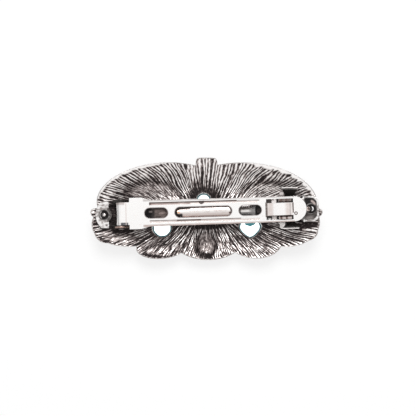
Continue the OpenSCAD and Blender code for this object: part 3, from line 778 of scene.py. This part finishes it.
# In a stamped copy, corners closer than this are one, and faces within this angle of each other one flat
SAME_CORNER = 0.002
SAME_FLAT = math.radians(0.6)
# Fineness of the steel's wear, and its scale along the clasp, on which specks become short streaks
SPECKLE = 1.6
STREAK_STRETCH = 0.3
# How much the strength of a mark, painted shade and light included, comes and goes, and between which values
# of the wear
BLOTCH = 0.25
BLOTCH_WEAR = (0.35, 0.65)
# Tone below which a mark is not bare metal: dirt, and the blacks of painted shade
DIRT_AND_SHADE_TONE = 0.07
# Copper showing through the nickel, and two blacks for painted shade
COPPER = (0.50, 0.36, 0.31)
SHADE_BLACK = (0.03, 0.026, 0.024)
BLACK = (0.012, 0.010, 0.010)


def smoothed(mesh, angle):
    """Shades the mesh smooth, apart from its edges over the angle."""
    mesh.polygons.foreach_set("use_smooth", np.full(len(mesh.polygons), True))
    mesh.set_sharp_from_angle(angle=math.radians(angle))


def stamped_copy(name, node, edge, angle=28, cutters=()):
    """Copy of a solid with its loose triangles merged, its flats joined, every edge over the angle rolled
    off and the cutters taken out. Its normals follow the flats, so that only the rolled edges shade."""
    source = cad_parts[node]
    work = bmesh.new()
    work.from_mesh(source.data)
    work.transform(source.matrix_world)
    bmesh.ops.remove_doubles(work, verts=work.verts, dist=SAME_CORNER * MM)
    bmesh.ops.dissolve_limit(work, angle_limit=SAME_FLAT, verts=work.verts, edges=work.edges)
    mesh = bpy.data.meshes.new(name)
    work.to_mesh(mesh)
    work.free()
    piece = linked(name, mesh)
    rolled = piece.modifiers.new("rolled_edges", "BEVEL")
    rolled.width = edge * MM
    rolled.segments = 2
    rolled.limit_method = "ANGLE"
    rolled.angle_limit = math.radians(angle)
    piece.data = evaluated(piece)
    piece.modifiers.clear()
    for points, faces in cutters:
        settled(piece, put_mesh(name + "_cut", points, faces), "DIFFERENCE")
    smoothed(piece.data, angle)
    flats = piece.modifiers.new("flats", "WEIGHTED_NORMAL")
    flats.keep_sharp = True
    return piece


def between(tree, value, low, high, soft):
    """1 where the value lies between low and high, with soft sides."""
    rise = soft_step(tree, value, low - soft, low + soft)
    fall = soft_step(tree, value, high - soft, high + soft, start=1.0, end=0.0)
    return worked(tree, "MULTIPLY", rise, fall)


def stain_and_light_mask(tree, place, spot):
    """Mask of one mark, real or painted light and shade: the product of its ranges of the clasp's x, y and
    height and of its ring round a line along X, given as the line's middle and half length and the ring's
    inner and outer radius."""
    axes, soft = node_in(tree, "ShaderNodeSeparateXYZ", Vector=place).outputs, spot["soft"]
    masks = [between(tree, axes[key.upper()], *spot[key], soft) for key in "xyz" if key in spot]
    if "ring" in spot:
        x, y, half, r0, r1 = spot["ring"]
        vector = "ShaderNodeVectorMath"
        out = worked(tree, "SUBTRACT", place, (x, y, 0), kind=vector)
        aside = worked(tree, "ABSOLUTE", worked(tree, "MULTIPLY", out, (1, 1, 0), kind=vector), kind=vector)
        past = worked(tree, "SUBTRACT", aside, (half, 0, 0), kind=vector)
        off = worked(tree, "MAXIMUM", past, (0, 0, 0), kind=vector)
        far = node_in(tree, vector, {"operation": "LENGTH"}, _0=off)
        masks.append(between(tree, far.outputs["Value"], r0, r1, soft))
    whole = masks[0]
    for mask in masks[1:]:
        whole = worked(tree, "MULTIPLY", whole, mask)
    return whole


def steel(name, bright, grey, contrast, rough, stains_and_painted_light=()):
    """Plated steel. Its wear, short streaks along the clasp and soft clouds, runs between a bright and a
    grey colour and two roughnesses, over the contrast's range. Marks, real ones and painted shade and
    highlights, lie over it in their order."""
    material, tree = new_material(name)
    coordinates = node_in(tree, "ShaderNodeTexCoord")
    place = node_in(tree, "ShaderNodeMapping", Vector=coordinates.outputs["Object"], Scale=(1 / MM,) * 3,
                    Location=(-CLASP_AT[0], -CLASP_AT[1], 0))
    along = node_in(tree, "ShaderNodeMapping", Vector=place.outputs[0], Scale=(STREAK_STRETCH, 1, 1))
    mask = worn(tree, along.outputs[0], Streak_Scale=SPECKLE, Cloud_Scale=0.35 * SPECKLE, Streaks=0.6,
                Clouds=0.4)
    level = soft_step(tree, mask.outputs["Wear"], *contrast)
    colour = blended(tree, level, grey + (1,), bright + (1,))
    metal = 1.0
    for spot in stains_and_painted_light:
        blotch = node_in(tree, "ShaderNodeMapRange", Value=mask.outputs["Wear"], From_Min=BLOTCH_WEAR[0],
                         From_Max=BLOTCH_WEAR[1], To_Min=spot["strength"] - BLOTCH,
                         To_Max=spot["strength"] + BLOTCH)
        where = stain_and_light_mask(tree, place.outputs[0], spot)
        share = worked(tree, "MULTIPLY", where, blotch.outputs[0], use_clamp=True)
        colour = blended(tree, share, colour, spot["colour"] + (1,))
        kind = 0.0 if max(spot["colour"]) < DIRT_AND_SHADE_TONE else 1.0
        metal = node_in(tree, "ShaderNodeMix", _0=share, _2=metal, _3=kind).outputs[0]
    roughness = node_in(tree, "ShaderNodeMapRange", Value=level, To_Min=rough[1], To_Max=rough[0])
    bump = node_in(tree, "ShaderNodeBump", Strength=0.2, Distance=0.00003, Height=mask.outputs["Scratches"])
    coat(tree, Base_Color=colour, Metallic=metal, Roughness=roughness.outputs[0], Normal=bump.outputs[0],
         Specular_IOR_Level=DIRT_GLOSS)
    return material


def fitted(piece, material, body, node):
    """Finishes a clasp piece: its material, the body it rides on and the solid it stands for."""
    piece.data.materials.clear()
    piece.data.materials.append(material)
    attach(piece, body)
    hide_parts(node)


def stain_and_painted_light(colour, strength, soft, **where):
    """Values of one mark, real or painted light and shade: its colour, how strong it is, how soft its sides
    are, and its ranges or its ring.
    """
    return dict(where, colour=colour, strength=strength, soft=soft)


# Painted shade under the arm, blackest at the left slot's end, with lighter streaks in that slot and bright
# strips under the catch's slits; painted shade and a painted sheen in the tray, and painted shade round the
# left rivet;
# marks on the tab; painted shade at the ears' roots, with copper showing on the lower ear
BASE_STAINS_AND_SHADE = [
    stain_and_painted_light((0.055, 0.045, 0.043), 1.0, 0.3, x=(-29.2, 33.9), y=(-4.4, 4.4)),
    stain_and_painted_light((0.17, 0.135, 0.125), 0.9, 0.5, x=(-19.2, -13), y=(-1.6, 1.6)),
    stain_and_painted_light(BLACK, 1.0, 0.5, x=(-22.8, -20.2), y=(-2.2, 2.2)),
    stain_and_painted_light((0.40, 0.32, 0.30), 0.8, 0.25, x=(-17.6, -13), y=(-0.1, 0.5)),
    stain_and_painted_light((0.26, 0.22, 0.21), 0.9, 0.25, x=(-21.2, -20.0), y=(0.5, 1.1)),
    stain_and_painted_light((0.05, 0.04, 0.037), 0.9, 0.2, x=(-18.8, -16.8), y=(-1.3, -0.9)),
    stain_and_painted_light((0.055, 0.046, 0.044), 0.95, 0.2, ring=(35.3, 0, 0, -1, 4.65), x=(34.9, 39.2), y=(-3.9, 3.9)),
    stain_and_painted_light(BLACK, 0.9, 0.5, x=(34.9, 37.2), y=(1.6, 4)),
    stain_and_painted_light((0.55, 0.46, 0.43), 0.9, 0.2, ring=(37.0, 1.3, 0, 1.2, 1.9), x=(37.3, 39.2), y=(1.4, 3.6)),
    stain_and_painted_light((0.30, 0.27, 0.26), 0.8, 0.6, x=(34.9, 37.8), y=(-3.7, -2.7)),
    stain_and_painted_light((0.30, 0.28, 0.27), 0.75, 0.15, ring=(-RIVET_X, 0, 0, 1.5, 2.1)),
    stain_and_painted_light((0.10, 0.09, 0.085), 0.95, 0.2, ring=(-RIVET_X, 0, 0, 2.0, 2.9), x=(-36.2, -34)),
    stain_and_painted_light((0.25, 0.22, 0.21), 0.9, 0.3, x=(-38.6, -37.8), y=(2.0, 2.8)),
    stain_and_painted_light((0.25, 0.22, 0.21), 0.9, 0.25, x=(-39.1, -38.4), y=(-2.1, -1.6)),
    stain_and_painted_light((0.40, 0.36, 0.35), 0.9, 0.25, x=(-38.2, -37.6), y=(-3.2, -2.2)),
    stain_and_painted_light((0.20, 0.17, 0.165), 0.9, 0.3, x=(-36.8, -36.0), y=(-4.1, -3.3)),
    stain_and_painted_light((0.92, 0.87, 0.85), 1.2, 0.2, x=(23.3, 24.9), y=(-4, 4)),
    stain_and_painted_light((0.90, 0.87, 0.85), 1.2, 0.15, x=(21.0, 22.9), y=(-3.9, -2.8)),
    stain_and_painted_light(SHADE_BLACK, 1.2, 0.12, x=(-35.5, -27), y=(3.3, 6)),
    stain_and_painted_light(SHADE_BLACK, 1.2, 0.12, x=(-35.5, -27), y=(-6, -3.3)),
    stain_and_painted_light(COPPER, 1.0, 0.12, x=(-33.2, -28.1), y=(-4.95, -4.4))]
base_nickel = steel("base_nickel", (0.90, 0.88, 0.87), (0.30, 0.27, 0.26), (0.42, 0.55), (0.18, 0.36),
                    stains_and_painted_light=BASE_STAINS_AND_SHADE)
base = stamped_copy("base_plate", "clasp_base", PLATE_EDGE)
fitted(base, base_nickel, "root", "clasp_base")

# Rivets: soft steel pins, spread into the casting. Their heads are turned to a collar round a domed middle,
# and painted shade blackens the turned groove.
RIVET_EDGE = 0.06
RIVET_PAINTED_SHADE_AND_GLINTS = [stain_and_painted_light(BLACK, share, 0.1, ring=(side * RIVET_X, 0, 0, r0, r1))
                for side in (-1, 1) for r0, r1, share in ((0.66, 1.7, 1.2), (1.4, 2.3, 0.75))]
# On the right head painted shade runs over the dome and leaves two painted reflections, on the left a painted
# highlight in an arc
RIVET_PAINTED_SHADE_AND_GLINTS += [
    stain_and_painted_light(BLACK, 1.1, 0.1, ring=(RIVET_X, 0, 0, 0, 1.3)),
    stain_and_painted_light((0.88, 0.76, 0.71), 1.3, 0.15, x=(35.75, 36.75), y=(-0.7, 0.7)),
    stain_and_painted_light((0.93, 0.92, 0.92), 1.2, 0.1, ring=(RIVET_X, 0, 0, 0.35, 0.85), x=(37.4, 39)),
    stain_and_painted_light((0.50, 0.47, 0.46), 0.9, 0.12, ring=(-RIVET_X, 0, 0, 1.25, 1.55), x=(-39.5, -38))]
rivet_steel = steel("rivet_steel", (0.85, 0.80, 0.78), (0.25, 0.22, 0.21), (0.30, 0.5), (0.2, 0.4),
                    stains_and_painted_light=RIVET_PAINTED_SHADE_AND_GLINTS)
for name in ("rivet_left", "rivet_right"):
    fitted(stamped_copy(name + "_head", name, RIVET_EDGE), rivet_steel, "root", name)

# Tension strip: a leaf of blued spring steel under the arm, bowed across its width. A stud on the base holds
# its right end, and from there it rises and runs under the arm to a rounded tip, coppery at its end.
BASE_T = 0.8
ARM_R, ARM_T, ARM_LOW = 481, 0.9, 11.06
STRIP_T, STRIP_HALF, STRIP_UNDER = 0.4, 2.8, 0.2
STRIP_CROWN = 0.5
STRIP_X = (-10.8, 21.6)
STRIP_DROP = (8, 12.6)
# The strip's bow is pressed flat at the stud between these
STRIP_FLAT = (14.5, 17.2)
# Half width of the strip at its tip and along its taper: x and half width
STRIP_TAPER = np.array([(STRIP_X[0], 0.6), (-9.5, 1.5), (-5, STRIP_HALF), (STRIP_X[1], STRIP_HALF)])
STRIP_STATIONS, STRIP_ACROSS = 81, 13
# Edges of the strip over this angle are sharp
STRIP_SHARP = 40
STUD_X, STUD_R = 18.6, 0.85


def base_top(x):
    """Height of the base plate's upper face: an arc that rises to both ends."""
    return base_z + base_r - np.sqrt((base_r - BASE_T) ** 2 - x ** 2)


def skin(rows):
    """Closed bar: rows of corners, one loop a station, joined from station to station, with flat ends."""
    corner = np.arange(rows.shape[0] * rows.shape[1]).reshape(rows.shape[:2])
    a, b = corner[:-1], corner[1:]
    faces = np.stack([a, np.roll(a, -1, axis=1), np.roll(b, -1, axis=1), b], axis=-1).reshape(-1, 4).tolist()
    return rows.reshape(-1, 3), faces + [corner[0][::-1].tolist(), corner[-1].tolist()]


def strip_rows():
    """Strip's loops: at station x, z falls from the middle as crown * t^2, where t runs from -1 to 1
    across the width. The strip's middle follows the arm's underside, then an S curve down to the base,
    where its edges stand and where the stud presses the crown flat."""
    xs, across_t = np.linspace(*STRIP_X, STRIP_STATIONS), np.linspace(-1, 1, STRIP_ACROSS)
    down = ease(*STRIP_DROP, xs)
    arm_low = ARM_LOW + ARM_R - np.sqrt(ARM_R ** 2 - xs ** 2)
    top = (1 - down) * (arm_low - STRIP_UNDER) + down * (base_top(xs) + GAP + STRIP_T)
    half = np.interp(xs, STRIP_TAPER[:, 0], STRIP_TAPER[:, 1])
    x, t = np.meshgrid(xs, np.concatenate([across_t, across_t[::-1]]), indexing="ij")
    lower = np.repeat([STRIP_T, 0], STRIP_ACROSS)
    crown = STRIP_CROWN * (1 - ease(*STRIP_FLAT, xs)) * half / STRIP_HALF
    return np.stack([x + CLASP_AT[0], t * half[:, None] + CLASP_AT[1],
                     (top + down * crown)[:, None] - crown[:, None] * t ** 2 - lower], axis=-1)


strip = put_mesh("strip_spring", *skin(strip_rows()))
points, faces = lathe(disc(STUD_R + GAP, OVER_ALL, 0), (CLASP_AT[0] + STUD_X, CLASP_AT[1], 0), sides=48)
settled(strip, put_mesh("strip_hole", points, without_repeats(faces)), "DIFFERENCE")
smoothed(strip.data, STRIP_SHARP)
ROSE = (0.60, 0.52, 0.49)
UMBER = (0.14, 0.10, 0.09)
# Painted shade on the strip: rose and umber on the bow's lower side, a dark line under the centre slot's
# upper rim, a dark left end, all of it darker where it lies deep in the right slot and black at the stud; a
# coppery patch at the tip
STRIP_PAINTED_SHADE_AND_TINT = [
    stain_and_painted_light(ROSE, 0.85, 0.5, x=(-11, 9.5), y=(-3, -0.35)),
    stain_and_painted_light(UMBER, 1.0, 0.3, x=(-11, 9.5), y=(-3, -1.3)),
    stain_and_painted_light((0.42, 0.37, 0.35), 0.95, 0.35, x=(-6, 9.5), y=(1.15, 3)),
    stain_and_painted_light((0.10, 0.085, 0.08), 1.1, 0.5, x=(-11.2, -6.0), y=(0.8, 3)),
    stain_and_painted_light(UMBER, 1.0, 0.15, ring=(8.0, -0.6, 0, -1, 0.4)),
    stain_and_painted_light(BLACK, 1.1, 0.4, x=(-11.5, -9.0), y=(-3, -0.5)),
    stain_and_painted_light((0.80, 0.52, 0.36), 1.1, 0.2, x=(-12, -9.9), y=(-0.35, 0.8)),
    stain_and_painted_light((0.20, 0.19, 0.19), 1.1, 0.3, x=(10.5, 22), y=(0.55, 3)),
    stain_and_painted_light((0.17, 0.16, 0.16), 1.1, 0.3, x=(10.5, 22), y=(-3, -0.35)),
    stain_and_painted_light((0.22, 0.21, 0.205), 0.95, 0.9, x=(15.4, 22), y=(-0.8, 0.8)),
    stain_and_painted_light(BLACK, 1.1, 0.25, x=(17.3, 22), y=(-3, 3))]
spring = steel("spring_steel", (0.84, 0.81, 0.79), (0.52, 0.465, 0.445), (0.38, 0.54), (0.18, 0.3),
               stains_and_painted_light=STRIP_PAINTED_SHADE_AND_TINT)
fitted(strip, spring, "root", "tension_strip")

# Catch: spring steel folded up on the base's right end. Two hooks stand through the arm's slits and snap over
# its strap, and a wing on each side is pressed to let it go. Below its rims it is painted black with shade,
# but for painted highlights at the wings' roots, and its hooks carry painted shade and lighter lines; the
# rims keep the bright plating.
CATCH_EDGE = 0.1
CATCH_PAINTED_SHADE_AND_GLINTS = [
    stain_and_painted_light((0.022, 0.019, 0.018), 1.1, 0.25, z=(0, 12.35)),
    stain_and_painted_light((0.80, 0.76, 0.74), 0.9, 0.2, x=(25.5, 28.1), y=(-7.2, -4.4), z=(0, 10.5)),
    stain_and_painted_light((0.20, 0.17, 0.165), 0.9, 0.2, x=(25.5, 28.1), y=(4.4, 7.2), z=(0, 10.5)),
    stain_and_painted_light((0.75, 0.70, 0.68), 0.8, 0.35, x=(26.2, 27.6), y=(5.4, 6.4), z=(0, 10.5)),
    stain_and_painted_light((0.16, 0.13, 0.12), 0.95, 0.15, x=(25.2, 30.2), y=(2.2, 4), z=(12.2, 14)),
    stain_and_painted_light((0.46, 0.40, 0.38), 0.9, 0.15, x=(25.2, 30.2), y=(-4, -2.2), z=(12.2, 14)),
    stain_and_painted_light(UMBER, 1.1, 0.15, x=(25.8, 26.6), y=(-4, 4), z=(12, 14)),
    stain_and_painted_light(UMBER, 1.1, 0.15, x=(27.8, 28.5), y=(-4, 4), z=(12, 14))]
catch_steel = steel("catch_steel", (0.88, 0.84, 0.82), (0.45, 0.40, 0.38), (0.35, 0.55), (0.2, 0.35),
                    stains_and_painted_light=CATCH_PAINTED_SHADE_AND_GLINTS)
fitted(stamped_copy("catch", "catch_spring", CATCH_EDGE), catch_steel, "root", "catch_spring")

# Arm: the same sheet, stamped with three slots, two stiffening grooves and a strap between the catch's slits,
# and rolled to a knuckle. The plating is bright; painted shade, pinkish and dark, lies along its edges and
# grooves.
ARM_EDGE = 0.26
GROOVE = [(-0.45, 0.4), (-0.45, -0.05), (-0.38, -0.26), (0.38, -0.26), (0.45, -0.05), (0.45, 0.4)]
GROOVE_X = (-20.6, 18.6)
GROOVE_YS = (3.35, -3.1)
SLOTS = ((-22.5, -14.2), (-11.7, 8.7), (11.2, 19.3))
SLOT_R = 1.85


def arm_top(x):
    """Height of the arm's upper face: an arc whose ends stand higher than its middle."""
    return ARM_LOW + ARM_R - np.sqrt((ARM_R - ARM_T) ** 2 - x ** 2)


def carried(profile, xs, heights):
    """Closed bar: the profile, a loop of (y, z), carried along X at the height given for each station."""
    profile = np.array(profile, float)
    x, y = np.meshgrid(xs, profile[:, 0], indexing="ij")
    return skin(np.stack([x, y, heights[:, None] + profile[:, 1]], axis=-1))


def groove(y):
    """Cutter of one stiffening groove, which follows the arm's upper face."""
    xs = np.linspace(*GROOVE_X, 25)
    points, faces = carried(GROOVE, xs, arm_top(xs))
    return points + (CLASP_AT[0], CLASP_AT[1] + y, 0), faces


PINK = (0.70, 0.62, 0.59)
SHADE = (0.45, 0.41, 0.40)
# Painted shade on the arm: pink and dark along its long edges and the grooves' walls, on the knuckle's
# corners and along the strap's edges and bends; a pink line at the knuckle's edge, and dark spots in the
# upper groove and near the tip
ARM_PAINTED_SHADE_AND_MARKS = [
    stain_and_painted_light((0.52, 0.43, 0.40), 0.95, 0.16, x=(-23, 31), y=(-5, -4.15)),
    stain_and_painted_light(SHADE, 0.7, 0.16, x=(-23, 31), y=(4.2, 5)),
    stain_and_painted_light((0.40, 0.32, 0.30), 1.0, 0.1, x=(-20.7, -6), y=(2.85, 3.4)),
    stain_and_painted_light(PINK, 0.9, 0.1, x=(-6, 18.6), y=(2.85, 3.4)),
    stain_and_painted_light(UMBER, 1.15, 0.08, x=(-20.7, 10.5), y=(3.4, 3.85)),
    stain_and_painted_light(UMBER, 0.9, 0.1, x=(-20.8, -20.2), y=(2.8, 3.8)),
    stain_and_painted_light(SHADE, 0.9, 0.1, x=(10.5, 18.6), y=(3.3, 3.7)),
    stain_and_painted_light(PINK, 0.9, 0.1, x=(-20.7, 18.6), y=(-3.6, -2.9)),
    stain_and_painted_light((0.22, 0.17, 0.16), 0.95, 0.08, x=(-20.7, 12), y=(-2.9, -2.6)),
    stain_and_painted_light(UMBER, 1.0, 0.1, x=(-11, -2.4), y=(-3.1, -2.6)),
    stain_and_painted_light((0.11, 0.09, 0.085), 1.2, 0.1, ring=(-2.1, 3.7, 0, -1, 1.0), y=(2, 3.9)),
    stain_and_painted_light((0.50, 0.44, 0.42), 0.9, 0.3, x=(-32.6, -29.6), y=(3.2, 4.2)),
    stain_and_painted_light((0.09, 0.09, 0.10), 1.1, 0.25, x=(-31.0, -28.4), y=(-4.2, -3.2)),
    stain_and_painted_light(PINK, 0.7, 0.15, x=(-29.3, -28.9), y=(-4, 4)),
    stain_and_painted_light((0.16, 0.13, 0.12), 1.0, 0.15, x=(20.7, 21.5), y=(-2.7, 2.6)),
    stain_and_painted_light(PINK, 0.85, 0.5, x=(21.5, 23.4), y=(-2.4, 2.4)),
    stain_and_painted_light(PINK, 0.8, 0.7, x=(27.8, 30.2), y=(-2.4, 2.4)),
    stain_and_painted_light(SHADE, 0.9, 0.12, x=(29.3, 29.6), y=(-2.4, 2.4)),
    stain_and_painted_light(UMBER, 1.1, 0.1, x=(30.3, 30.75), y=(-1.4, 2.3)),
    stain_and_painted_light(SHADE, 0.9, 0.08, x=(21, 30.6), y=(2.2, 2.5)),
    stain_and_painted_light(UMBER, 1.0, 0.08, x=(21, 30.6), y=(-2.5, -2.2)),
    stain_and_painted_light(UMBER, 1.2, 0.08, ring=(31.5, -1.6, 0, 0.3, 0.62))]
# Painted shade round each slot's rim
for x0, x1 in SLOTS:
    around_slot = ((x0 + x1) / 2, 0, (x1 - x0) / 2 - SLOT_R, SLOT_R - 0.5, SLOT_R + 0.2)
    ARM_PAINTED_SHADE_AND_MARKS.append(stain_and_painted_light((0.30, 0.25, 0.24), 0.75, 0.12, ring=around_slot))
arm_nickel = steel("arm_nickel", (0.91, 0.895, 0.885), (0.70, 0.655, 0.635), (0.34, 0.47), (0.2, 0.36),
                   stains_and_painted_light=ARM_PAINTED_SHADE_AND_MARKS)
arm = stamped_copy("swing_arm", "arm", ARM_EDGE, cutters=[groove(y) for y in GROOVE_YS])
fitted(arm, arm_nickel, "clasp_arm", "arm")

# Hinge pin: a plain steel pin with a rounded head outside each ear, pushed through the ears and the arm's
# knuckle and spread over. It is left dark, and only its lower head shows beside the copper of the ear.
pin_steel = steel("pin_steel", (0.30, 0.27, 0.26), (0.06, 0.05, 0.05), (0.35, 0.6), (0.3, 0.45))
fitted(stamped_copy("pin", "hinge_pin", RIVET_EDGE), pin_steel, "root", "hinge_pin")
